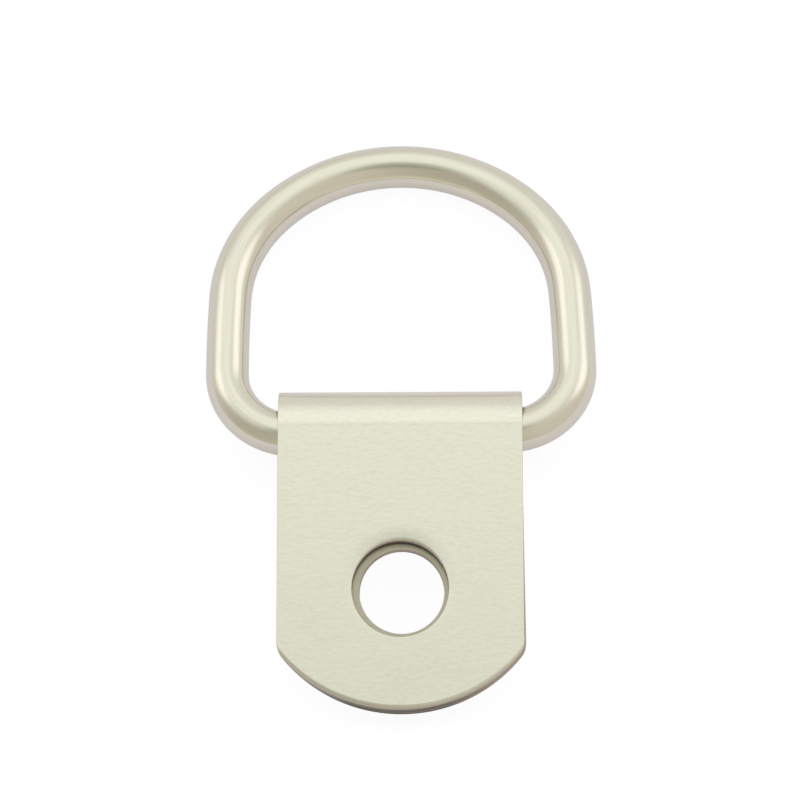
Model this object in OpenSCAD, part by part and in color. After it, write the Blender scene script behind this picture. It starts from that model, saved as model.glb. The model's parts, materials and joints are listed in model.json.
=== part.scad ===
// D ring on a folded clip. A ring of bent round wire swings in the rolled eye of a clip,
// which is one strip of sheet steel folded over the ring's bar until its two leaves meet.
// The part lies on a table with its flat face up, as it does by itself. X runs along the bar,
// +Y points to the bow and +Z points up. The origin is under the middle of the part.

/* [Clip] */
// Width of the strip
clip_w = 12.7; // [10:0.1:14]
// Thickness of the sheet
sheet_t = 0.75; // [0.5:0.05:0.9]
// Length of the front leaf, from the bar's axis to the rounded end
leaf_len = 15; // [13:0.1:17]
// Slit between the two closed leaves
leaf_gap = 0.05; // [0.03:0.01:0.2]
// How far the rounded end stands past its own corners
end_rise = 3.2; // [2:0.1:4]
// Radius that blends each side into the rounded end
end_corner_r = 1.1; // [0.5:0.1:2]
// Angle by which the rear leaf runs to the right of the front one
rear_skew = 0.7; // [0:0.1:1.5]

/* [Rivet hole] */
// Diameter of the hole in the front leaf
front_hole_d = 5; // [3:0.1:6]
// Diameter of the hole in the rear leaf
rear_hole_d = 4.38; // [3:0.01:5]
// Distance from the rounded end to the middle of the holes
hole_from_end = 6.3; // [5:0.1:7.5]

/* [Ring] */
// Diameter of the wire
wire_d = 2.26; // [1.6:0.02:2.6]
// Room between the clip's side and the inside of the ring's limb
side_room = 1.7; // [1.5:0.05:3]
// Inside radius of the two lower corners
corner_in_r = 2.5; // [1.8:0.05:2.8]
// Length of each nearly straight limb
limb_len = 4.6; // [2:0.1:6]
// Angle through which each limb curves in towards the bow
limb_sweep = 3; // [1:0.5:6]
// Radius of the crown of the bow, as a multiple of its shoulders' radius
crown_ratio = 1.19; // [1:0.01:1.4]
// Angle from the middle of the crown to each shoulder
crown_half_angle = 46; // [30:1:60]

/* [Play] */
// Least clearance between the wire and the eye, where the wire leaves it
bar_play = 0.055; // [0.05:0.005:0.3]
// Angle by which the loose ring lies turned in its own plane
ring_turn = 0.9; // [0:0.1:1.5]
// Distance that the loose ring lies to the right
ring_slip = 0.07; // [0:0.01:0.2]

/* [Hidden] */
$fn = 96;
// How far a cutter runs past the face that it opens
cut_past = 0.5;
// How far the arc of a leaf's corner reaches past the side and the end, so that they cross
corner_past = 0.002;
// Steps along each bend at which the ring's reach is measured
reach_steps = 60;

wire_r = wire_d / 2;
half_w = clip_w / 2;

// Ring, in its own plane, with the bar's axis along X at Y 0. Each bend starts where the
// last one ends and has its centre on the same radius line, so the wire runs on smoothly.
corner_r = corner_in_r + wire_r;
bar_half = half_w + side_room - corner_in_r;
corner_c = [bar_half, corner_r];
limb_r = limb_len / (limb_sweep * PI / 180);
limb_c = corner_c - [limb_r - corner_r, 0];
limb_head = limb_c + limb_r * [cos(limb_sweep), sin(limb_sweep)];
shoulder_to = 90 - crown_half_angle;
shoulder_r = limb_head[0] / (cos(limb_sweep) + (crown_ratio - 1) * cos(shoulder_to));
shoulder_c = limb_head - shoulder_r * [cos(limb_sweep), sin(limb_sweep)];
crown_r = crown_ratio * shoulder_r;
crown_c = shoulder_c - (crown_r - shoulder_r) * [cos(shoulder_to), sin(shoulder_to)];

// Eye, which clears the wire where the ring's corners start to rise inside it
exit_angle = asin(max(0, corner_in_r - side_room) / corner_r);
exit_rise = corner_r * (1 - cos(exit_angle)) + half_w * sin(ring_turn);
eye_in_r = exit_rise + wire_r / cos(exit_angle) + bar_play;
eye_out_r = eye_in_r + sheet_t;

// Clip, in its own frame: the bar's axis along X at the origin, leaves towards -Y, face up.
// The eye is three quarters of a turn. The throat is the quarter turn back that follows it, and
// its inside ends level with the rear leaf's back.
throat_in_r = eye_in_r - leaf_gap - sheet_t;
throat_y = -(eye_out_r + throat_in_r);
rear_len = leaf_len + throat_y;
end_r = (pow(half_w, 2) + pow(end_rise, 2)) / (2 * end_rise);
rear_reach = end_r + (rear_len - end_r) * cos(rear_skew) - throat_y;

// Rest: the eye, the rear leaf's end and the bow touch the table
clip_tilt = asin(eye_out_r / norm([rear_reach, throat_in_r])) + atan(throat_in_r / rear_reach);
function bend_points(centre, r, from, to) = [
    for (i = [0 : reach_steps])
        let (a = from + (to - from) * i / reach_steps)
            centre + r * [cos(a), sin(a)]];
function turned(p) = [
    p[0] * cos(ring_turn) - p[1] * sin(ring_turn),
    p[0] * sin(ring_turn) + p[1] * cos(ring_turn)];
side_points = concat(
    bend_points(corner_c, corner_r, -90, 0),
    bend_points(limb_c, limb_r, 0, limb_sweep),
    bend_points(shoulder_c, shoulder_r, limb_sweep, shoulder_to),
    bend_points(crown_c, crown_r, shoulder_to, 90));
right_points = [for (p = side_points) turned(p)];
left_points = [for (p = side_points) turned([-p[0], p[1]])];
bow_reach = max([for (p = concat(right_points, left_points)) p[1]]);
right_reach = max([for (p = right_points) p[0]]) + wire_r + ring_slip;
left_reach = min([for (p = left_points) p[0]]) - wire_r + ring_slip;
ring_dip = asin((eye_out_r - wire_r) / bow_reach);
far_y = bow_reach * cos(ring_dip) + wire_r;
near_y = -leaf_len * cos(clip_tilt) - eye_out_r * sin(clip_tilt);
bar_place = [-(right_reach + left_reach) / 2, -(far_y + near_y) / 2, eye_out_r];

// Moves what follows in two steps, a round one and the small rest of it, so that faces that
// meet still meet when the numbers are written out with few digits
module place(p) {
    near = [for (v = p) round(v * 1000) / 1000];
    translate(near)
        translate(p - near)
            children();
}

// A bend of the wire in the ring's plane, from one angle to another about its centre
module wire_bend(centre, bend_r, from, to) {
    place([centre[0], centre[1], 0])
        rotate_extrude(start = from, angle = to - from)
            place([bend_r, 0])
                circle(r = wire_r);
}

// The straight bar that the eye holds
module ring_bar() {
    translate([-bar_half, 0, 0])
        rotate([0, 90, 0])
            cylinder(h = 2 * bar_half, r = wire_r);
}

// Lower corner, limb and shoulder of the right side
module ring_side() {
    wire_bend(corner_c, corner_r, -90, 0);
    wire_bend(limb_c, limb_r, 0, limb_sweep);
    wire_bend(shoulder_c, shoulder_r, limb_sweep, shoulder_to);
}

// One closed ring, whose joint is smoothed over and hidden in the eye
module d_ring() {
    color([0.88, 0.85, 0.76])
        translate(bar_place)
            rotate([-ring_dip, 0, 0])
                translate([ring_slip, 0, 0])
                    rotate([0, 0, ring_turn]) {
                        ring_bar();
                        ring_side();
                        mirror([1, 0, 0])
                            ring_side();
                        wire_bend(crown_c, crown_r, shoulder_to, 180 - shoulder_to);
                    }
}

// The rounded end of a leaf that starts at Y 0, with both of its corners blended
module rounded_end(len, half) {
    blend_x = half - end_corner_r;
    blend_y = sqrt(pow(end_r - end_corner_r, 2) - pow(blend_x, 2));
    out = end_corner_r + cut_past;
    toward = [blend_x, -blend_y] / norm([blend_x, blend_y]);
    translate([0, end_r - len])
        difference() {
            union() {
                circle(r = end_r);
                translate([-end_r, 0])
                    square([2 * end_r, len]);
            }
            for (side = [0, 1])
                mirror([side, 0])
                    translate([blend_x, -blend_y])
                        difference() {
                            polygon([[0, 0], [out, 0], [out, toward[1] * out], toward * out]);
                            circle(r = end_corner_r + corner_past);
                        }
        }
}

// A leaf from Y 0 to its rounded end, turned aside by the skew, with its hole
module leaf(len, skew, hole_d) {
    low = len + cut_past;
    aside = low * tan(skew);
    difference() {
        linear_extrude(sheet_t)
            intersection() {
                polygon([[-half_w, 0], [half_w, 0], [half_w + aside, -low], [-half_w + aside, -low]]);
                rotate([0, 0, skew])
                    rounded_end(len, half_w * cos(skew));
            }
        rotate([0, 0, skew])
            translate([0, hole_from_end - len, -cut_past])
                cylinder(h = sheet_t + 2 * cut_past, d = hole_d);
    }
}

// The strip where it bends round an axis along X, from one angle to another
module strip_bend(in_r, from, to) {
    rotate([90, 0, 90])
        rotate_extrude(start = from, angle = to - from)
            place([in_r, -half_w])
                square([sheet_t, clip_w]);
}

// One folded strip: front leaf, eye round the bar, throat and rear leaf
module clip() {
    color([0.87, 0.87, 0.79])
        translate(bar_place)
            rotate([clip_tilt, 0, 0]) {
                place([0, 0, eye_in_r])
                    leaf(leaf_len, 0, front_hole_d);
                strip_bend(eye_in_r, -180, 90);
                place([0, throat_y, 0])
                    strip_bend(throat_in_r, 0, 90);
                place([0, throat_y, throat_in_r])
                    leaf(rear_len, rear_skew, rear_hole_d);
            }
}

clip();
d_ring();
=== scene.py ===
# %% [markdown]
# # A D ring on a folded clip
#
# A rivet-on D ring is a small piece of strap hardware. Half of it is a ring of round wire that is
# bent into a D, and the other half is one strip of sheet steel, folded over the ring's bar.
# The CAD model has both in their true sizes. Here each of them is made once more with the detail
# that makes stamped and plated metal look real: edges rolled over by the die, dark sheared walls,
# and satin nickel that shows soft reflections of the studio.
#
# The imported CAD model is loaded first. It gives the frame that all pieces stay in.

# %% Load the imported frame
import json
from math import asin, atan, atan2, cos, hypot, pi, radians, sin, sqrt, tan

import bmesh
import bpy
from mathutils import Matrix, Vector


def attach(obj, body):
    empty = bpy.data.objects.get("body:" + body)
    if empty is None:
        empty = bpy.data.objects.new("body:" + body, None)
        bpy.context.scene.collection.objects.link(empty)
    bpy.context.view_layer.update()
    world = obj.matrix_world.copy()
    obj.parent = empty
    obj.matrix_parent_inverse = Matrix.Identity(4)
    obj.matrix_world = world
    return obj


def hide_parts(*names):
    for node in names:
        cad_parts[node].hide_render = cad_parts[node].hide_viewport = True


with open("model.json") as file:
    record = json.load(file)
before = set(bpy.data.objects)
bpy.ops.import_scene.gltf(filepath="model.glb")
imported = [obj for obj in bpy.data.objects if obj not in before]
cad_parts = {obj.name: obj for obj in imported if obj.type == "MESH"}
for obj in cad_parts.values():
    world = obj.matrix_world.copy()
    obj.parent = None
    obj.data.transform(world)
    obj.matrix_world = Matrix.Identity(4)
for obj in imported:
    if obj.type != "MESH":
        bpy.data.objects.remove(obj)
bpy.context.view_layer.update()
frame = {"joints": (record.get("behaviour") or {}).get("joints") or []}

# %% [markdown]
# ## Sizes
#
# The sizes are the ones that the CAD model is built from, in millimetres. Blender's bevels and
# booleans have limits of their own that are meant for a world in metres, and a sheet of 0.75 mm
# comes close to them. So every piece is modelled as if one unit were a millimetre, and is made
# a thousand times smaller when it is finished.

# %% Sizes in millimetres
CLIP_W = 12.7
SHEET_T = 0.75
LEAF_LEN = 15.0
LEAF_GAP = 0.05
END_RISE = 3.2
END_CORNER_R = 1.1
REAR_SKEW = radians(0.7)
FRONT_HOLE_R = 2.5
REAR_HOLE_R = 2.19
HOLE_FROM_END = 6.3
WIRE_R = 1.13
SIDE_ROOM = 1.7
CORNER_IN_R = 2.5
LIMB_LEN = 4.6
LIMB_SWEEP = radians(3)
CROWN_RATIO = 1.19
CROWN_HALF_ANGLE = radians(46)
BAR_PLAY = 0.055
RING_TURN = radians(0.9)
RING_SLIP = 0.07
HALF_W = CLIP_W / 2

# The ring and the clip meet on the bar's axis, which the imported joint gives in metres.
hinge = frame["joints"][0]
BAR_PLACE = Vector(hinge["pos_m"])
print("bar's axis at", [round(v * 1000, 4) for v in BAR_PLACE], "mm")

# %% [markdown]
# The ring is a chain of bends. Each starts where the last one ends and has its centre on the same
# radius line, so the wire runs on without a kink. The eye is just wide enough to clear the wire
# where the ring's corners start to rise inside it.

# %% Shapes that follow from the sizes
corner_r = CORNER_IN_R + WIRE_R
bar_half = HALF_W + SIDE_ROOM - CORNER_IN_R
limb_r = LIMB_LEN / LIMB_SWEEP
corner_c = Vector((bar_half, corner_r))
limb_c = corner_c - Vector((limb_r - corner_r, 0))
limb_head = limb_c + limb_r * Vector((cos(LIMB_SWEEP), sin(LIMB_SWEEP)))
shoulder_to = pi / 2 - CROWN_HALF_ANGLE
shoulder_r = limb_head.x / (cos(LIMB_SWEEP) + (CROWN_RATIO - 1) * cos(shoulder_to))
shoulder_c = limb_head - shoulder_r * Vector((cos(LIMB_SWEEP), sin(LIMB_SWEEP)))
crown_r = CROWN_RATIO * shoulder_r
crown_c = shoulder_c - (crown_r - shoulder_r) * Vector((cos(shoulder_to), sin(shoulder_to)))

exit_angle = asin((CORNER_IN_R - SIDE_ROOM) / corner_r)
exit_rise = corner_r * (1 - cos(exit_angle)) + HALF_W * sin(RING_TURN)
EYE_IN_R = exit_rise + WIRE_R / cos(exit_angle) + BAR_PLAY
EYE_OUT_R = EYE_IN_R + SHEET_T
THROAT_IN_R = EYE_IN_R - LEAF_GAP - SHEET_T
THROAT_Y = -(EYE_OUT_R + THROAT_IN_R)
REAR_LEN = LEAF_LEN + THROAT_Y
END_R = (HALF_W**2 + END_RISE**2) / (2 * END_RISE)
rear_reach = END_R + (REAR_LEN - END_R) * cos(REAR_SKEW) - THROAT_Y
CLIP_TILT = asin(EYE_OUT_R / hypot(rear_reach, THROAT_IN_R)) + atan(THROAT_IN_R / rear_reach)
print("eye radius", round(EYE_OUT_R, 4), "mm; bar's height", round(BAR_PLACE.z * 1000, 4), "mm")

# %% [markdown]
# ## Working by hand, in code
#
# An operator acts on whatever is selected, so the first helpers make the selection certain. One
# deselects everything and starts a primitive, one picks the piece to work on, one goes in and out
# of edit mode, and one selects the parts of the mesh that pass a test on their place. Two more
# draw the selection out, along a line and round an axis, and the last one puts a finished piece
# in its place.

# %% Selection helpers
def start_piece(name, add_primitive, **settings):
    """Adds a primitive with nothing else selected, and names it."""
    bpy.ops.object.select_all(action="DESELECT")
    add_primitive(**settings)
    piece = bpy.context.object
    piece.name = name
    return piece


def work_on(piece):
    """Makes one piece the only selected and active one."""
    bpy.ops.object.select_all(action="DESELECT")
    piece.select_set(True)
    bpy.context.view_layer.objects.active = piece


def edit(on=True):
    """Goes into edit mode with points to be selected, or out of it."""
    bpy.ops.object.mode_set(mode="EDIT" if on else "OBJECT")
    if on:
        bpy.ops.mesh.select_mode(type="VERT")


def pick(piece, kind, test):
    """Selects the verts, edges or faces that pass a test, in edit mode, and counts them."""
    mode = {"verts": "VERT", "edges": "EDGE", "faces": "FACE"}[kind]
    bpy.ops.mesh.select_mode(type=mode)
    bpy.ops.mesh.select_all(action="DESELECT")
    shape = bmesh.from_edit_mesh(piece.data)
    chosen = [part for part in getattr(shape, kind) if test(part)]
    for part in chosen:
        part.select_set(True)
    bmesh.update_edit_mesh(piece.data)
    return len(chosen)


def spin(turn, centre, axis, steps):
    """Extrudes the selection round an axis, and leaves the new end selected. Blender's spin
    counts clockwise turns as positive, so the turn is handed over with its sign changed."""
    bpy.ops.mesh.spin(steps=steps, angle=-turn, center=centre, axis=axis)


def extrude(move):
    """Extrudes the selection along a line, and leaves the new end selected."""
    bpy.ops.mesh.extrude_region_move(TRANSFORM_OT_translate={"value": move})


def settle(piece, turn, at):
    """Turns the finished piece, makes it a thousandth as big, and puts it all in its mesh."""
    work_on(piece)
    piece.matrix_world = Matrix.Translation(at) @ turn.to_4x4() @ Matrix.Scale(0.001, 4)
    bpy.ops.object.transform_apply(location=True, rotation=True, scale=True)
    print(piece.name, "has", len(piece.data.polygons), "faces")


# %% [markdown]
# ## The ring
#
# The real ring is a length of drawn wire, bent round a form until its ends butt together inside
# the clip's eye. A curve with a round bevel would be quick, but its rings of points bunch up at
# tight bends. Spinning a circle round the centre of each bend is closer to the way the wire is
# bent, and every bend gets its exact radius: bar, corner, limb, shoulder, crown and back again.

# %% Bend the wire
SECTION_POINTS = 56
BAR_STEPS = 8
# A bend is its centre, its radius, the angles where it starts and stops, and its steps.
right_bends = [
    (corner_c, corner_r, -pi / 2, 0, 32),
    (limb_c, limb_r, 0, LIMB_SWEEP, 6),
    (shoulder_c, shoulder_r, LIMB_SWEEP, shoulder_to, 20),
]
left_bends = [
    (Vector((-centre.x, centre.y)), radius, pi - stop, pi - start, steps)
    for centre, radius, start, stop, steps in reversed(right_bends)
]
crown_bend = (crown_c, crown_r, shoulder_to, pi - shoulder_to, 48)
bends = [*right_bends, crown_bend, *left_bends]

ring = start_piece(
    "wire_ring", bpy.ops.mesh.primitive_circle_add, vertices=SECTION_POINTS, radius=WIRE_R,
    location=(-bar_half, 0, 0), rotation=(0, pi / 2, 0),
)
bpy.ops.object.transform_apply(location=True, rotation=True, scale=True)
edit()
bpy.ops.mesh.select_all(action="SELECT")
for step in range(BAR_STEPS):
    extrude((2 * bar_half / BAR_STEPS, 0, 0))
for centre, radius, start, stop, steps in bends:
    spin(stop - start, (centre.x, centre.y, 0), (0, 0, 1), steps)
bpy.ops.mesh.select_all(action="SELECT")
bpy.ops.mesh.remove_doubles(threshold=0.001)
bpy.ops.mesh.normals_make_consistent(inside=False)
open_edges = pick(ring, "edges", lambda e: len(e.link_faces) != 2)
edit(False)
print("open edges in the ring:", open_edges)

# %% [markdown]
# Drawing the wire through its die scores fine lines along it, and the plate keeps them. A pattern
# on plain coordinates would cut straight across the bends, so each point notes where it lies on
# the wire: how far out from the middle of the wire, how far up, and how far along, in
# millimetres. The count starts afresh inside the eye, where nobody can see it.

# %% Note each point's place on the wire
# A place this close to a limit, in millimetres, still counts as lying on it.
NEAR = 0.004


def wire_place(p):
    """Out, up and along the wire, for a point on its skin."""
    if abs(p.x) <= bar_half + NEAR and p.y <= WIRE_R + NEAR:
        return (-p.y, p.z, p.x + bar_half)
    run = 2 * bar_half
    for centre, radius, start, stop, steps in bends:
        away = p.xy - centre
        turned = (atan2(away.y, away.x) - start + NEAR) % (2 * pi) - NEAR
        if turned <= stop - start + NEAR and abs(away.length - radius) <= WIRE_R + NEAR:
            return (away.length - radius, p.z, run + turned * radius)
        run += (stop - start) * radius
    raise ValueError("a point lies off the wire")


place = ring.data.attributes.new("wire_place", "FLOAT_VECTOR", "POINT")
for point, vert in zip(place.data, ring.data.vertices):
    point.vector = wire_place(vert.co)
print("wire's length:", round(max(point.vector.z for point in place.data), 2), "mm")

# %% [markdown]
# The loose ring lies a little aside in the eye, turned in its own plane, and its bow drops
# until it rests on the table.

# %% Lay the ring down
bow_reach = crown_c.y + crown_r
ring_dip = asin((EYE_OUT_R - WIRE_R) / bow_reach)
work_on(ring)
ring.matrix_world = Matrix.Translation((RING_SLIP, 0, 0)) @ Matrix.Rotation(RING_TURN, 4, "Z")
bpy.ops.object.transform_apply(location=True, rotation=True, scale=True)
bpy.ops.object.shade_smooth()
settle(ring, Matrix.Rotation(-ring_dip, 3, "X"), BAR_PLACE)
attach(ring, "ring")
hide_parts("d_ring")

# %% [markdown]
# ## The clip
#
# The clip is one strip, so it is made as one: the strip's cut end is a small plane, which is
# extruded along the rear leaf, spun through the throat and the eye, and extruded along the front
# leaf. Booleans then cut the rounded ends and punch the holes, as the die does. They leave large
# flat faces with clean rims, which is just what the bevels need afterwards.

# %% Fold the strip
# Both leaves are made too long by this much, for the die to cut off.
END_SPARE = 2.0
THROAT_STEPS = 24
EYE_STEPS = 108
strip = start_piece("folded_clip", bpy.ops.mesh.primitive_plane_add, size=1)
strip.matrix_world = (
    Matrix.Translation((0, -LEAF_LEN - END_SPARE, THROAT_IN_R + SHEET_T / 2))
    @ Matrix.Rotation(pi / 2, 4, "X")
    @ Matrix.Diagonal((CLIP_W, SHEET_T, 1, 1))
)
bpy.ops.object.transform_apply(location=True, rotation=True, scale=True)
edit()
bpy.ops.mesh.select_all(action="SELECT")
extrude((0, REAR_LEN + END_SPARE, 0))
spin(-pi / 2, (0, THROAT_Y, 0), (1, 0, 0), THROAT_STEPS)
spin(3 * pi / 2, (0, 0, 0), (1, 0, 0), EYE_STEPS)
extrude((0, -LEAF_LEN - END_SPARE, 0))
bpy.ops.mesh.select_all(action="SELECT")
bpy.ops.mesh.remove_doubles(threshold=0.001)
bpy.ops.mesh.normals_make_consistent(inside=False)

# The rear leaf runs aside a little, because the strip wasn't folded quite square.
slit_z = EYE_IN_R - LEAF_GAP / 2
moved = pick(strip, "verts", lambda v: v.co.y < -LEAF_LEN and v.co.z < slit_z)
bpy.ops.transform.translate(value=((REAR_LEN + END_SPARE) * tan(REAR_SKEW), 0, 0))

# The faces are parted through the middle of the holes to come, so that no face has to run right
# round a hole.
for normal in ((1, 0, 0), (0, 1, 0)):
    bpy.ops.mesh.select_all(action="SELECT")
    bpy.ops.mesh.bisect(plane_co=(0, HOLE_FROM_END - LEAF_LEN, 0), plane_no=normal)
open_edges = pick(strip, "edges", lambda e: len(e.link_faces) != 2)
edit(False)
print("rear corners moved:", moved, "open edges in the strip:", open_edges)

# %% [markdown]
# The waste round a rounded end is drawn as an outline. A plane merged into one point is spun
# through the corner, the end and the other corner, and then led round the outside. The arcs end
# a hair outside the strip's side, so that the cut never runs along a face.

# %% Cut the rounded ends
PAST_SIDE = 0.002
# How far a cutter stands out past the metal
CUT_PAST = 1.0
CORNER_STEPS = 12
END_STEPS = 64


def end_waste(name, tip_y, half, low, high):
    """The scrap that is left round a leaf's rounded end, as a solid from one height to another."""
    corner = Vector((half + PAST_SIDE - END_CORNER_R, 0))
    corner.y = -sqrt((END_R - END_CORNER_R) ** 2 - corner.x**2)
    blend = atan2(-corner.y, corner.x)
    centre_y = tip_y + END_R
    corner.y += centre_y
    clear_y = tip_y - END_SPARE - CUT_PAST
    waste = start_piece(name, bpy.ops.mesh.primitive_plane_add, size=1)
    edit()
    bpy.ops.mesh.select_all(action="SELECT")
    bpy.ops.mesh.merge(type="CENTER")
    bpy.ops.transform.translate(value=(corner.x + END_CORNER_R, corner.y, low))
    spin(-blend, (corner.x, corner.y, low), (0, 0, 1), CORNER_STEPS)
    spin(2 * blend - pi, (0, centre_y, low), (0, 0, 1), END_STEPS)
    spin(-blend, (-corner.x, corner.y, low), (0, 0, 1), CORNER_STEPS)
    extrude((-END_SPARE, 0, 0))
    extrude((0, clear_y - corner.y, 0))
    extrude((2 * (corner.x + END_CORNER_R + END_SPARE), 0, 0))
    extrude((0, corner.y - clear_y, 0))
    extrude((-END_SPARE, 0, 0))
    bpy.ops.mesh.select_all(action="SELECT")
    bpy.ops.mesh.remove_doubles(threshold=0.0005)
    bpy.ops.mesh.edge_face_add()
    extrude((0, 0, high - low))
    bpy.ops.mesh.select_all(action="SELECT")
    bpy.ops.mesh.normals_make_consistent(inside=False)
    edit(False)
    return waste


def cut_away(piece, tool):
    """Takes one solid out of another and throws the tool away."""
    work_on(piece)
    cut = piece.modifiers.new("cut", "BOOLEAN")
    cut.operation = "DIFFERENCE"
    cut.solver = "EXACT"
    cut.object = tool
    bpy.ops.object.modifier_apply(modifier=cut.name)
    bpy.data.objects.remove(tool, do_unlink=True)
    print(piece.name, "has", len(piece.data.polygons), "faces after the cut")


cut_away(strip, end_waste("front_waste", -LEAF_LEN, HALF_W, slit_z, EYE_OUT_R + CUT_PAST))
rear_half = HALF_W * cos(REAR_SKEW)
waste = end_waste("rear_waste", -REAR_LEN, rear_half, THROAT_IN_R - CUT_PAST, slit_z)
work_on(waste)
waste.matrix_world = Matrix.Translation((0, THROAT_Y, 0)) @ Matrix.Rotation(REAR_SKEW, 4, "Z")
bpy.ops.object.transform_apply(location=True, rotation=True, scale=True)
cut_away(strip, waste)

# %% [markdown]
# A rivet needs a hole in each leaf. The front one is larger, so that the two still line up when
# the fold is a little off. A cylinder with many sides is the punch.

# %% Punch the holes
PUNCH_SIDES = 112


def punch(name, radius, centre, low, high):
    """A cutter for a round hole, from one height to another."""
    return start_piece(
        name, bpy.ops.mesh.primitive_cylinder_add, vertices=PUNCH_SIDES, radius=radius,
        depth=high - low, location=(centre.x, centre.y, (low + high) / 2),
    )


front_hole = Vector((0, HOLE_FROM_END - LEAF_LEN))
rear_run = REAR_LEN - HOLE_FROM_END
rear_hole = Vector((rear_run * sin(REAR_SKEW), THROAT_Y - rear_run * cos(REAR_SKEW)))
cut_away(strip, punch("front_punch", FRONT_HOLE_R, front_hole, slit_z, EYE_OUT_R + CUT_PAST))
cut_away(strip, punch("rear_punch", REAR_HOLE_R, rear_hole, THROAT_IN_R - CUT_PAST, slit_z))

# %% [markdown]
# A die pulls the edge of the face that it enters down into a soft curve, the rollover, and leaves
# the edge of the other face sharp. The strip's outer skin runs from the front leaf's face
# round the eye to the rear leaf's back, so all that is needed to tell the two rims apart is the
# depth in the sheet. The sheared walls between the rims get a material slot of their own before
# any edge is rounded.

# %% Tell the rims and the sheared walls apart
def depth_in_sheet(p):
    """How far a point lies under the strip's outer skin."""
    if p.y <= 0 and p.z > slit_z:
        return EYE_OUT_R - p.z
    if p.y <= THROAT_Y:
        return p.z - THROAT_IN_R
    if p.y < -EYE_IN_R and p.z > 0:
        return hypot(p.y - THROAT_Y, p.z) - THROAT_IN_R
    return EYE_OUT_R - hypot(p.y, p.z)


def is_wall(face):
    """True for the sheared walls, which stand across the sheet's thickness."""
    depths = [depth_in_sheet(v.co) for v in face.verts]
    return max(depths) - min(depths) > SHEET_T / 2


def rim_at(depth):
    """A test for the edges between a sheared wall and the skin that lies at this depth."""
    def test(edge):
        on_rim = all(abs(depth_in_sheet(v.co) - depth) < NEAR for v in edge.verts)
        return on_rim and sum(is_wall(f) for f in edge.link_faces) == 1
    return test


work_on(strip)
for slot in ("skin", "sheared"):
    strip.data.materials.append(bpy.data.materials.new(slot))
edit()
sheared_faces = pick(strip, "faces", is_wall)
strip.active_material_index = 1
bpy.ops.object.material_slot_assign()
edit(False)
print("sheared faces:", sheared_faces)

# %% [markdown]
# The rollover isn't the same all round. The die rounds the ends most. The punch came down a
# little askew, so the holes are rolled over most on the fold's side and hardly at the other, and
# the sides were slit from a wide coil, which hardly rounds them either. The Bevel operator has one
# width for all edges, but a Bevel modifier that reads a weight for each edge can fade from one
# width to another, along the small corner arcs too.

# %% Roll over the outer rim
ROLLOVER = 0.31
# Shares of the full rollover: at a hole's far side, at its fold's side, and on the strip's sides
HOLE_LEAST = 0.03
HOLE_MOST = 0.68
SIDE_SHARE = 0.18


def rollover_share(edge):
    """How much of the full rollover an edge gets, by where it lies and which way it runs."""
    start, stop = (v.co for v in edge.verts)
    middle = ((start + stop) / 2).xy - front_hole
    if middle.length < FRONT_HOLE_R:
        fold_side = (1 + middle.normalized().y) / 2
        return HOLE_LEAST + (HOLE_MOST - HOLE_LEAST) * fold_side**3
    across = abs(stop.x - start.x) / (stop - start).length
    return SIDE_SHARE + (1 - SIDE_SHARE) * across**2


edit()
rim = pick(strip, "edges", rim_at(0))
shape = bmesh.from_edit_mesh(strip.data)
weight = shape.edges.layers.float.new("bevel_weight_edge")
for edge in shape.edges:
    if edge.select:
        edge[weight] = rollover_share(edge)
bmesh.update_edit_mesh(strip.data)
edit(False)
rolled = strip.modifiers.new("rollover", "BEVEL")
rolled.limit_method = "WEIGHT"
rolled.width = ROLLOVER
rolled.segments = 5
rolled.use_clamp_overlap = False
rolled.material = 0
bpy.ops.object.modifier_apply(modifier=rolled.name)
strip.data.attributes.remove(strip.data.attributes["bevel_weight_edge"])
print("outer rim edges:", rim, "faces:", len(strip.data.polygons))

# %% [markdown]
# The inner rim is nearly sharp. All of its edges get the same narrow bevel, so the operator in
# edit mode will do.

# %% Break the inner rim
BURR_EDGE = 0.035
edit()
inner = pick(strip, "edges", rim_at(SHEET_T))
bpy.ops.mesh.bevel(
    offset_type="OFFSET", offset=BURR_EDGE, segments=2, affect="EDGES", clamp_overlap=False,
    material=0,
)
open_edges = pick(strip, "edges", lambda e: len(e.link_faces) != 2)
edit(False)
print("inner rim edges:", inner, "open edges in the clip:", open_edges)

# %% [markdown]
# A sheared edge isn't the same all the way through the sheet. Under the rollover comes a band that
# the punch has burnished, and below it the steel has torn. Round the part, its colour also gets
# painted light and shade. Painted shade goes in the middle of the ends, where the walls face the
# part's shade on the table, and on the fold's side of the front hole, where the wall faces down
# into the hole's shade. Painted light goes on the corners and in the rear hole. The materials need
# to know how deep in the sheet they are and how much painted light they get, so each point keeps
# its own depth, in millimetres, and its own share of painted light.

# %% Note each point's depth in the sheet and its share of painted light
# Shares of painted light: painted shade at the front hole's fold side, less of it at the far side,
# and painted light above 1 in the rear hole
FOLD_SIDE_SHADE_SHARE = 0.18
FAR_SIDE_SHADE_SHARE = 0.88
REAR_HOLE_LIGHT_SHARE = 1.1
# Painted shade in the middle of an end and painted light at its corners, and how far out each
# reaches
END_MIDDLE_SHADE_SHARE = 0.3
CORNER_LIGHT_SHARE = 1.2
END_SHADE_TO = 2.5
CORNER_LIGHT_FROM = 5.5


def painted_light_share(p):
    """The share of painted light and shade that a sheared wall and its rim get, by where they lie.
    """
    middle = p.xy - front_hole
    if middle.length < FRONT_HOLE_R + ROLLOVER:
        if p.z < slit_z:
            return REAR_HOLE_LIGHT_SHARE
        far_side = (1 - middle.normalized().y) / 2
        return FOLD_SIDE_SHADE_SHARE + (FAR_SIDE_SHADE_SHARE - FOLD_SIDE_SHADE_SHARE) * far_side
    across = (abs(p.x) - END_SHADE_TO) / (CORNER_LIGHT_FROM - END_SHADE_TO)
    return END_MIDDLE_SHADE_SHARE + (CORNER_LIGHT_SHARE - END_MIDDLE_SHADE_SHARE) * max(0, min(1, across))


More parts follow.
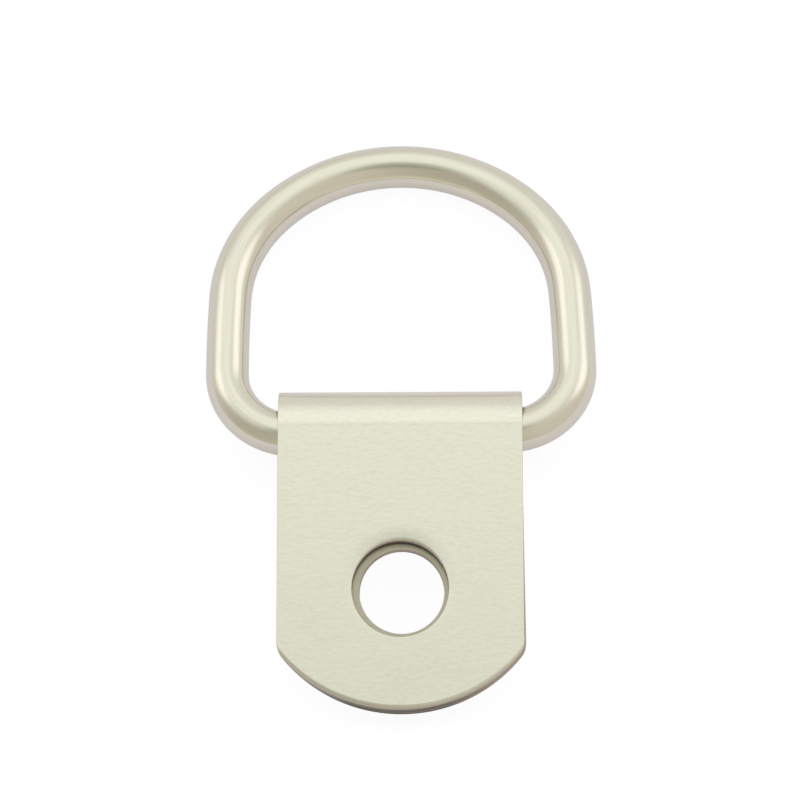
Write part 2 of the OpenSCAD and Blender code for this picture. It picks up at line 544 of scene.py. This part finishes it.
depths = strip.data.attributes.new("depth", "FLOAT", "POINT")
depths.data.foreach_set("value", [depth_in_sheet(v.co) for v in strip.data.vertices])
shares = strip.data.attributes.new("painted_light_share", "FLOAT", "POINT")
shares.data.foreach_set("value", [painted_light_share(v.co) for v in strip.data.vertices])
print("depths in the sheet:", round(min(d.value for d in depths.data), 3), "to",
      round(max(d.value for d in depths.data), 3), "mm")

# %% [markdown]
# The flat faces must stay flat in the light. Weighted normals let each large face keep its own
# direction, and leave all of the turning to the narrow bevels beside it.

# %% Smooth the clip and put it in place
work_on(strip)
bpy.ops.object.shade_smooth_by_angle(angle=radians(40))
flatten = strip.modifiers.new("flatten", "WEIGHTED_NORMAL")
flatten.keep_sharp = True
bpy.ops.object.modifier_apply(modifier=flatten.name)
settle(strip, Matrix.Rotation(CLIP_TILT, 3, "X"), BAR_PLACE)
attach(strip, "clip")
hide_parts("clip")

# %% [markdown]
# ## Materials
#
# Both parts are steel with a nickel plate, a few thousandths of a millimetre thick. Nickel is a
# warm, slightly yellow white. Each material is a small tree of nodes, so some helpers come first:
# one turns a colour as it is picked on a screen into the linear light that shaders count in, one
# adds a node with its settings and links, one makes an empty material, one fills in a colour
# ramp, and one turns the size of a grain into the scale of a noise.

# %% Colour and node helpers
def linear(hex_colour):
    """The linear colour of an sRGB hex value."""
    parts = [int(hex_colour[i : i + 2], 16) / 255 for i in (0, 2, 4)]
    return [c / 12.92 if c <= 0.04045 else ((c + 0.055) / 1.055) ** 2.4 for c in parts] + [1]


def add(tree, kind, settings=(), links=()):
    """Adds a node. Settings name its own values or sockets, and links name a socket's source.
    A socket is named by its name, or by its number where two have the same name."""
    node = tree.nodes.new(kind)
    for name, value in dict(settings).items():
        if isinstance(name, str) and hasattr(node, name):
            setattr(node, name, value)
        else:
            node.inputs[name].default_value = value
    for name, source in dict(links).items():
        tree.links.new(source, node.inputs[name])
    return node


def new_material(name):
    """An empty material, and its tree of nodes."""
    material = bpy.data.materials.new(name)
    material.use_nodes = True
    material.node_tree.nodes.clear()
    return material, material.node_tree


def set_stops(ramp, stops):
    """Gives a colour ramp its places and colours."""
    points = ramp.color_ramp.elements
    while len(points) < len(stops):
        points.new(0.5)
    for point, (place, colour) in zip(points, stops):
        point.position = place
        point.color = linear(colour)


def per_metre(size_mm):
    """The scale of a noise whose grains are this many millimetres across."""
    return 1000 / size_mm


print("nickel in linear light:", [round(c, 3) for c in linear("f0ebdb")[:3]])

# %% [markdown]
# ### Satin nickel on the stamped sheet
#
# The blanks are tumbled with fine media before they are plated, which leaves them dull all over,
# so the metal shows the room in soft tones. One metal shader of medium roughness gives those. The
# plate's colour is the rest of the work, because it isn't the same everywhere. The inner skin
# between the leaves stays duller than the face. The rollover darkens down its depth. Partly this is
# because the die stretched the plate there, and partly it is painted shade: it tones down the rims'
# highlights, and from about a tenth of a millimetre down it draws dark bands of painted shade. Both
# go with the depth in the sheet, so a colour ramp can give them. Where the sheared wall beside a
# rim gets painted light, the rim is lightened too, so the dark bands stay only where the wall gets
# painted shade.

# %% The plate through the depth of the sheet
# The sheet is less than 1 mm thick, so its depth in millimetres is a place on the ramp as it is.
INNER_SKIN = "c6bfae"
SHARE_KEEPING_RIM_SHADE = 0.3
SHARE_LIFTING_RIM_SHADE = 1.0
sheet, tree = new_material("satin_nickel_sheet")
coords = add(tree, "ShaderNodeTexCoord").outputs["Object"]
depth = add(tree, "ShaderNodeAttribute", {"attribute_name": "depth"}).outputs["Fac"]
by_depth = add(tree, "ShaderNodeValToRGB", {}, {"Fac": depth})
# The dark stops from 0.12 mm down are painted shade on the lower part of the rollover
set_stops(by_depth, [
    (0.0, "fefaee"), (0.01, "f7f3e5"), (0.04, "d8d4c6"), (0.08, "d5d1c2"), (0.12, "a8a194"),
    (0.19, "7c7469"), (0.70, "7e766b"), (0.75, INNER_SKIN),
])
share = add(tree, "ShaderNodeAttribute", {"attribute_name": "painted_light_share"}).outputs["Fac"]
# The share of painted light lifts the rollover's painted shade towards the inner skin's colour
rim_shade_lifted = add(
    tree, "ShaderNodeMapRange", {"From Min": SHARE_KEEPING_RIM_SHADE, "From Max": SHARE_LIFTING_RIM_SHADE},
    {"Value": share},
)
# A Mix node has its sockets once for each kind of value. 0 is its factor, and 6, 7 and the
# output 2 are colours.
plate = add(
    tree, "ShaderNodeMix",
    {"data_type": "RGBA", "blend_type": "LIGHTEN", 7: linear(INNER_SKIN)},
    {0: rim_shade_lifted.outputs["Result"], 6: by_depth.outputs["Color"]},
).outputs[2]
print("stops in the plate's ramp:", len(by_depth.color_ramp.elements))

# %% [markdown]
# The strip was rolled before it was tumbled, so its grain is longer across the strip than along
# it. One noise draws the grain, stretched across the strip, and a coarse one the clouds in the
# plate. A dent in satin metal changes its colour, its slope and its gloss together, so the grain
# goes into both colour and bump, and the clouds into both colour and roughness.

# %% Grain and clouds
# The real grain is about 0.05 mm, less than a pixel, so it is drawn as coarse as it needs to show.
GRAIN_MM = 0.17
GRAIN_STRETCH = 0.53
GRAIN_TONE = 0.07
GRAIN_DEPTH_MM = 0.006
CLOUD_MM = 1.6
CLOUD_TONE = 0.02
SHEET_SMOOTHEST = 0.21
SHEET_ROUGHEST = 0.29
laid = add(
    tree, "ShaderNodeMapping", {"Rotation": (-CLIP_TILT, 0, 0), "Scale": (GRAIN_STRETCH, 1, 1)},
    {"Vector": coords},
).outputs["Vector"]
grain = add(
    tree, "ShaderNodeTexNoise", {"Scale": per_metre(GRAIN_MM), "Detail": 4}, {"Vector": laid},
).outputs["Fac"]
clouds = add(
    tree, "ShaderNodeTexNoise", {"Scale": per_metre(CLOUD_MM), "Detail": 2}, {"Vector": laid},
).outputs["Fac"]
grain_tone = add(
    tree, "ShaderNodeMapRange", {"To Min": 1 - GRAIN_TONE, "To Max": 1 + GRAIN_TONE},
    {"Value": grain},
).outputs["Result"]
cloud_tone = add(
    tree, "ShaderNodeMapRange", {"To Min": 1 - CLOUD_TONE, "To Max": 1 + CLOUD_TONE},
    {"Value": clouds},
).outputs["Result"]
dull = add(
    tree, "ShaderNodeMapRange", {"To Min": SHEET_SMOOTHEST, "To Max": SHEET_ROUGHEST},
    {"Value": clouds},
).outputs["Result"]
print("noise scales of the sheet:", round(per_metre(GRAIN_MM)), "and", round(per_metre(CLOUD_MM)))

# %% [markdown]
# Over the fold the sheet is darker than on the leaves. Bending stretched the skin of the fold,
# which came out of the bath a little duller, and the darkening is also painted shade that tones
# down the fold's highlight. How far a point lies up the strip tells the fold from the leaves. The
# Mapping node in its texture mode undoes the piece's place, tilt and size, and so gives the
# coordinates that the strip was modelled in, in millimetres, with the fold above zero.

# %% Darker over the fold, partly painted shade
# How far up the strip the darkening starts and is full
FOLD_FROM = -0.3
FOLD_TO = 0.5
FOLD_TONE = 0.91
in_strip = add(
    tree, "ShaderNodeMapping",
    {
        "vector_type": "TEXTURE", "Location": BAR_PLACE, "Rotation": (CLIP_TILT, 0, 0),
        "Scale": (0.001, 0.001, 0.001),
    },
    {"Vector": coords},
).outputs["Vector"]
strip_y = add(tree, "ShaderNodeSeparateXYZ", {}, {"Vector": in_strip}).outputs["Y"]
fold_tone = add(
    tree, "ShaderNodeMapRange",
    {
        "interpolation_type": "SMOOTHSTEP", "From Min": FOLD_FROM, "From Max": FOLD_TO,
        "To Min": 1.0, "To Max": FOLD_TONE,
    },
    {"Value": strip_y},
).outputs["Result"]
tone = add(tree, "ShaderNodeMath", {"operation": "MULTIPLY"}, {0: grain_tone, 1: cloud_tone})
tone = add(
    tree, "ShaderNodeMath", {"operation": "MULTIPLY"}, {0: tone.outputs["Value"], 1: fold_tone},
)
colour = add(
    tree, "ShaderNodeVectorMath", {"operation": "SCALE"},
    {0: plate, "Scale": tone.outputs["Value"]},
).outputs["Vector"]
print("tone of the fold:", FOLD_TONE)

# %% [markdown]
# The askew punch also drew the face down on the fold's side of the front hole. The dish is a few
# hundredths of a millimetre deep, and nobody would see it but for its shade, so a bump will do. It
# is round, and its middle lies a little off the hole's, towards the fold.

# %% The dish beside the hole
# How far out from its middle the dish starts, and how far its middle lies off the hole's
DISH_R = 3.0
DISH_ASIDE = 0.4
DISH_DEPTH_MM = 0.035
dish_floor_r = FRONT_HOLE_R - DISH_ASIDE
from_middle = add(
    tree, "ShaderNodeVectorMath",
    {"operation": "DISTANCE", 1: (front_hole.x, front_hole.y + DISH_ASIDE, EYE_OUT_R)},
    {0: in_strip},
)
inward = add(
    tree, "ShaderNodeMapRange", {"From Min": DISH_R, "From Max": dish_floor_r},
    {"Value": from_middle.outputs["Value"]},
)
dish_height = add(
    tree, "ShaderNodeMath", {"operation": "POWER", 1: 2}, {0: inward.outputs["Result"]},
)
dish = add(
    tree, "ShaderNodeBump", {"invert": True, "Strength": 1, "Distance": DISH_DEPTH_MM / 1000},
    {"Height": dish_height.outputs["Value"]},
)
print("the dish is", round(DISH_R - dish_floor_r, 2), "mm wide and", DISH_DEPTH_MM, "mm deep")

# %% [markdown]
# The two bumps are chained: the grain's bump takes the slope that the dish's bump gives, and adds
# its own. The shader's index of refraction stays as it is, since a metal takes its reflection from
# its colour.

# %% The sheet's shader
bump = add(
    tree, "ShaderNodeBump", {"Strength": 0.5, "Distance": GRAIN_DEPTH_MM / 1000},
    {"Height": grain, "Normal": dish.outputs["Normal"]},
)
shader = add(
    tree, "ShaderNodeBsdfPrincipled", {"Metallic": 1},
    {"Base Color": colour, "Roughness": dull, "Normal": bump.outputs["Normal"]},
)
add(tree, "ShaderNodeOutputMaterial", {}, {"Surface": shader.outputs["BSDF"]})
print(sheet.name, "has", len(tree.nodes), "nodes")

# %% [markdown]
# ### The sheared wall
#
# Behind the rollover the punch burnishes a narrow band, and then the steel tears. Plate is thin in
# there and the torn steel is rough, so the wall looks brown and dull beside the face. Its colour
# runs with the depth, times each point's share of painted light. That share paints shade in the
# middle of the ends and on the fold's side of the front hole, and light on the corners and in the
# rear hole. Two noises break it up: a long one lets the line where the tearing starts wander up and
# down, and a short one, drawn out through the sheet, gives the streaks of the tear.

# %% Sheared edge of the sheet
# Real streaks are as fine as the steel's grain, and are drawn coarser here so that they show.
STREAK_MM = 0.14
STREAK_SQUEEZE = 0.15
STREAK_TONE = 0.25
STREAK_DEPTH_MM = 0.01
WANDER_MM = 1.3
WANDER_DEPTH = 0.1
sheared, tree = new_material("sheared_steel_edge")
coords = add(tree, "ShaderNodeTexCoord").outputs["Object"]
depth = add(tree, "ShaderNodeAttribute", {"attribute_name": "depth"}).outputs["Fac"]
laid = add(
    tree, "ShaderNodeMapping", {"Rotation": (-CLIP_TILT, 0, 0), "Scale": (1, 1, STREAK_SQUEEZE)},
    {"Vector": coords},
).outputs["Vector"]
streaks = add(
    tree, "ShaderNodeTexNoise", {"Scale": per_metre(STREAK_MM), "Detail": 3}, {"Vector": laid},
).outputs["Fac"]
wander = add(
    tree, "ShaderNodeTexNoise", {"Scale": per_metre(WANDER_MM), "Detail": 1}, {"Vector": laid},
).outputs["Fac"]
shift = add(
    tree, "ShaderNodeMapRange", {"To Min": -WANDER_DEPTH, "To Max": WANDER_DEPTH},
    {"Value": wander},
)
torn_from = add(
    tree, "ShaderNodeMath", {"operation": "ADD"}, {0: depth, 1: shift.outputs["Result"]},
)
torn = add(tree, "ShaderNodeValToRGB", {}, {"Fac": torn_from.outputs["Value"]})
set_stops(torn, [(0.15, "bfb2a0"), (0.36, "a69888"), (0.75, "b8ab9a")])
share = add(tree, "ShaderNodeAttribute", {"attribute_name": "painted_light_share"}).outputs["Fac"]
streak_tone = add(
    tree, "ShaderNodeMapRange", {"To Min": 1 - STREAK_TONE, "To Max": 1 + STREAK_TONE},
    {"Value": streaks},
)
# The share of painted light darkens the walls with painted shade and lightens them with painted
# light
wall_tone = add(
    tree, "ShaderNodeMath", {"operation": "MULTIPLY"},
    {0: streak_tone.outputs["Result"], 1: share},
)
colour = add(
    tree, "ShaderNodeVectorMath", {"operation": "SCALE"},
    {0: torn.outputs["Color"], "Scale": wall_tone.outputs["Value"]},
)
bump = add(
    tree, "ShaderNodeBump", {"Strength": 0.6, "Distance": STREAK_DEPTH_MM / 1000},
    {"Height": streaks},
)
shader = add(
    tree, "ShaderNodeBsdfPrincipled", {"Metallic": 1, "Roughness": 0.5},
    {"Base Color": colour.outputs["Vector"], "Normal": bump.outputs["Normal"]},
)
add(tree, "ShaderNodeOutputMaterial", {}, {"Surface": shader.outputs["BSDF"]})
strip.data.materials[0] = sheet
strip.data.materials[1] = sheared
print("clip's materials:", [m.name for m in strip.data.materials])

# %% [markdown]
# ### Satin nickel on the drawn wire
#
# The wire is smoother than the sheet, because the die that it was drawn through has polished it,
# so lamps show in it as clear stripes. Noise on the place along the wire, drawn out to long
# thin lines, is the trace of the die, in colour and bump. A fine mottle in the roughness is the
# plate's own. The place is counted in millimetres, and so are the scales of both noises.

# %% Satin nickel on the wire
# Real draw lines are a few hundredths of a millimetre wide, drawn coarser here so that they show.
DRAW_LINE_MM = 0.16
LINE_SQUEEZE = 0.05
LINE_TONE = 0.08
LINE_DEPTH_MM = 0.007
MOTTLE_MM = 0.3
WIRE_SMOOTHEST = 0.11
WIRE_ROUGHEST = 0.19
wire, tree = new_material("satin_nickel_wire")
along = add(tree, "ShaderNodeAttribute", {"attribute_name": "wire_place"}).outputs["Vector"]
laid = add(
    tree, "ShaderNodeMapping", {"Scale": (1, 1, LINE_SQUEEZE)}, {"Vector": along},
).outputs["Vector"]
lines = add(
    tree, "ShaderNodeTexNoise", {"Scale": 1 / DRAW_LINE_MM, "Detail": 2}, {"Vector": laid},
).outputs["Fac"]
mottle = add(
    tree, "ShaderNodeTexNoise", {"Scale": 1 / MOTTLE_MM, "Detail": 3}, {"Vector": along},
).outputs["Fac"]
line_tone = add(
    tree, "ShaderNodeMapRange", {"To Min": 1 - LINE_TONE, "To Max": 1 + LINE_TONE},
    {"Value": lines},
)
colour = add(
    tree, "ShaderNodeVectorMath", {"operation": "SCALE", 0: linear("ebe7da")[:3]},
    {"Scale": line_tone.outputs["Result"]},
)
dull = add(
    tree, "ShaderNodeMapRange", {"To Min": WIRE_SMOOTHEST, "To Max": WIRE_ROUGHEST},
    {"Value": mottle},
)
bump = add(
    tree, "ShaderNodeBump", {"Strength": 0.6, "Distance": LINE_DEPTH_MM / 1000},
    {"Height": lines},
)
shader = add(
    tree, "ShaderNodeBsdfPrincipled", {"Metallic": 1},
    {
        "Base Color": colour.outputs["Vector"], "Roughness": dull.outputs["Result"],
        "Normal": bump.outputs["Normal"],
    },
)
add(tree, "ShaderNodeOutputMaterial", {}, {"Surface": shader.outputs["BSDF"]})
ring.data.materials.clear()
ring.data.materials.append(wire)
print("ring's materials:", [m.name for m in ring.data.materials])

# %% [markdown]
# ## The studio
#
# Small parts are photographed on a sheet of white acrylic that is lit from below, so that they
# stand on plain white with hardly a shadow. The sheet is a round floor that turns up into a wall
# far away, so that no edge of it shows from any side. It glows by itself, and its own colour is
# dark enough for shadows to stay faint. The metal doesn't see it, because it glows evenly right up
# to the part, which would take the shade out of every wall that faces down. Nor does it hold
# the room's light back.

# %% Floor
FLOOR_RADIUS = 1.0
TURN_RADIUS = 0.5
TURN_STEPS = 12
WALL_HEIGHT = 2.0
floor = start_piece(
    "floor", bpy.ops.mesh.primitive_circle_add, vertices=96, radius=FLOOR_RADIUS,
    fill_type="NGON",
)
edit()
pick(floor, "edges", lambda e: True)
reach, rise = FLOOR_RADIUS, 0
for step in range(1, TURN_STEPS + 1):
    bend = step / TURN_STEPS * pi / 2
    extrude((0, 0, TURN_RADIUS * (1 - cos(bend)) - rise))
    rise = TURN_RADIUS * (1 - cos(bend))
    wider = (FLOOR_RADIUS + TURN_RADIUS * sin(bend)) / reach
    bpy.ops.transform.resize(value=(wider, wider, 1))
    reach *= wider
extrude((0, 0, WALL_HEIGHT))
bpy.ops.mesh.select_all(action="SELECT")
bpy.ops.mesh.normals_make_consistent(inside=True)
edit(False)
bpy.ops.object.shade_smooth()

acrylic, tree = new_material("lit_white_acrylic")
shader = add(
    tree, "ShaderNodeBsdfPrincipled",
    {
        "Base Color": linear("6c6c6e"), "Roughness": 0.9,
        "Emission Color": linear("fdfdff"), "Emission Strength": 0.92,
    },
)
add(tree, "ShaderNodeOutputMaterial", {}, {"Surface": shader.outputs["BSDF"]})
floor.data.materials.append(acrylic)
floor.visible_glossy = False
floor.visible_diffuse = False
floor.visible_shadow = False
print("floor reaches", round(reach, 3), "m out and", round(rise + WALL_HEIGHT, 3), "m up")

# %% [markdown]
# The metal gets a table of its own to reflect, which the camera doesn't see. It glows much less
# than the sheet and takes most of its light from the room, so the part casts a shade on it, and the
# walls, the slits and the fold's underside reflect that shade.

# %% The table in the reflections
TABLE_SIZE = 2.0
TABLE_BELOW = 0.0001
table = start_piece(
    "table", bpy.ops.mesh.primitive_plane_add, size=TABLE_SIZE, location=(0, 0, -TABLE_BELOW),
)
bpy.ops.object.transform_apply(location=True, rotation=True, scale=True)
matt, tree = new_material("matt_white_table")
shader = add(
    tree, "ShaderNodeBsdfPrincipled",
    {
        "Base Color": linear("cbc8d1"), "Roughness": 1, "Specular IOR Level": 0,
        "Emission Color": linear("fffcff"), "Emission Strength": 0.29,
    },
)
add(tree, "ShaderNodeOutputMaterial", {}, {"Surface": shader.outputs["BSDF"]})
table.data.materials.append(matt)
table.visible_camera = False
table.visible_diffuse = False
table.visible_shadow = False
print(table.name, "lies", TABLE_BELOW * 1000, "mm below the part")

# %% [markdown]
# Bright satin metal has hardly a colour of its own: it shows the room. The room is a dull warm
# white with a large soft light overhead and behind, one small lamp high on each side, which draw
# the stripes along the ring's limbs, and a dark place overhead in front, where the camera hangs.
# Wide faint patches stand for the window, the far wall and the light that the sheet throws up.
# Lamps and cards could be built as objects, but each would show its outline in the metal. Here
# each is a round patch of the world that fades out from its middle, so that the reflections
# have no hard ends.

# %% The room's light
def toward(azimuth, height):
    """A direction. Azimuth is measured from +X towards +Y, height above the floor, in degrees."""
    a, e = radians(azimuth), radians(height)
    return Vector((cos(a) * cos(e), sin(a) * cos(e), sin(e)))


world = bpy.data.worlds.new("room")
bpy.context.scene.world = world
world.use_nodes = True
room = world.node_tree
room.nodes.clear()
direction = add(room, "ShaderNodeTexCoord").outputs["Generated"]


def soft_light(light, azimuth, height, full, edge, colour):
    """Adds a round soft light to the room: full out to one angle, and gone at the other."""
    facing = add(
        room, "ShaderNodeVectorMath", {"operation": "DOT_PRODUCT", 1: toward(azimuth, height)},
        {0: direction},
    )
    fade = add(
        room, "ShaderNodeMapRange",
        {
            "interpolation_type": "SMOOTHSTEP",
            "From Min": cos(radians(edge)), "From Max": cos(radians(full)),
        },
        {"Value": facing.outputs["Value"]},
    )
    part = add(
        room, "ShaderNodeVectorMath", {"operation": "SCALE", 0: colour},
        {"Scale": fade.outputs["Result"]},
    )
    total = add(
        room, "ShaderNodeVectorMath", {"operation": "ADD"},
        {0: light, 1: part.outputs["Vector"]},
    )
    return total.outputs["Vector"]


# Azimuth and height of the middle, angles out to which it is full and gone, and how much red,
# green and blue light it adds. A dark place takes light away.
LIGHTS = {
    "big light behind": (124, 63, 0, 49, (0.223, 0.250, 0.237)),
    "right lamp": (29, 36, 0, 24, (0.440, 0.416, 0.434)),
    "left lamp": (153, 35, 0, 23, (0.360, 0.334, 0.343)),
    "camera overhead": (-99, 76, 0, 22, (-0.191, -0.168, -0.162)),
    "dark corner in front": (-141, 47, 21, 53, (-0.092, -0.069, -0.063)),
    "window side": (5, 27, 0, 98, (0.082, 0.104, 0.102)),
    "wall behind": (98, 17, 40, 104, (0.108, 0.153, 0.177)),
    "lit sheet below": (0, -90, 48, 91, (0.100, 0.104, 0.212)),
    "lit sheet behind": (67, -66, 0, 49, (0.092, 0.138, 0.179)),
}
WALL_LIGHT = {"X": 0.555, "Y": 0.508, "Z": 0.429}
ROOM_STRENGTH = 1.05
light = add(room, "ShaderNodeCombineXYZ", WALL_LIGHT).outputs["Vector"]
for azimuth, height, full, edge, colour in LIGHTS.values():
    light = soft_light(light, azimuth, height, full, edge, colour)
glow = add(room, "ShaderNodeBackground", {"Strength": ROOM_STRENGTH}, {"Color": light})
add(room, "ShaderNodeOutputWorld", {}, {"Surface": glow.outputs["Background"]})
print("lights in the room:", len(LIGHTS))

# %% [markdown]
# The camera looks down at the part at 66 degrees from the floor, with a long lens, and is a hair
# turned and tilted, as the real one was. It is aimed at a point beside the bar's middle, so that
# the part sits in the picture as it does in the photograph, with no shift of the lens.

# %% Camera
CAMERA_LEAN = radians(65.94)
CAMERA_YAW = radians(2.28)
CAMERA_ROLL = radians(-2.38)
CAMERA_DISTANCE = 0.2
LENS_MM = 171.8
# Where the lens is aimed, right of the bar's middle and up from it in the picture, in metres
AIM_RIGHT = -0.000034
AIM_UP = 0.001732
back = Vector((
    sin(CAMERA_YAW) * cos(CAMERA_LEAN), -cos(CAMERA_YAW) * cos(CAMERA_LEAN), sin(CAMERA_LEAN),
))
camera = bpy.data.objects.new("camera", bpy.data.cameras.new("camera"))
bpy.context.collection.objects.link(camera)
camera.data.lens = LENS_MM
camera.data.clip_start = 0.01
camera.data.clip_end = 10
look = back.to_track_quat("Z", "Y") @ Matrix.Rotation(CAMERA_ROLL, 3, "Z").to_quaternion()
camera.rotation_mode = "QUATERNION"
camera.rotation_quaternion = look
aim = BAR_PLACE + look @ Vector((AIM_RIGHT, AIM_UP, 0))
camera.location = aim + back * CAMERA_DISTANCE
bpy.context.scene.camera = camera
bpy.context.scene.view_settings.view_transform = "Standard"
print("camera at", [round(v, 4) for v in camera.location])
